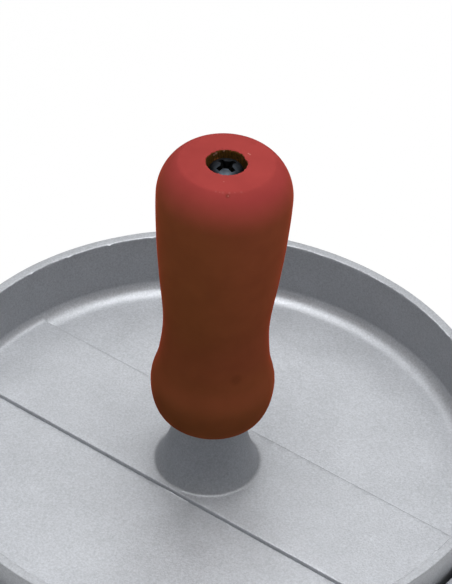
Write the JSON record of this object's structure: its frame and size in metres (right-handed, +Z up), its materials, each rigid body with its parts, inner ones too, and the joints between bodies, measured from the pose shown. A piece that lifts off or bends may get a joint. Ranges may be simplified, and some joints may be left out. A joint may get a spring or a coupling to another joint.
{
  "type": "burger press",
  "caption": "Round cast press plate with a raised rim and an upright turned handle, seated in a shallow ridged mould that shapes patties.",
  "frame": {"origin": "on the press's axis, at the flat face of the mould's foot ring", "axes": "+Z up along the handle; the picture looks along +Y with +X to its right; the raised band across the dish lies 33 degrees below +X"},
  "size_m": [0.1262, 0.1262, 0.0888],
  "materials": {
    "cast_mould": "fine-grained matte silver-grey casting",
    "cast_plate": "fine-grained matte silver-grey casting, with small burrs along the rim",
    "red_lacquered_wood": "matte red lacquer over turned wood",
    "blackened_steel": "blackened steel, satin"
  },
  "bodies": {
    "mould": {"base_mould": "cast_mould"},
    "press": {"press_plate": "cast_plate", "handle": "red_lacquered_wood", "handle_screw": "blackened_steel"}
  },
  "joints": [
    {"name": "press_lift", "type": "slide", "parent": "mould", "child": "press", "axis": [0, 0, 1], "range_m": [0, 0.06]}
  ]
}
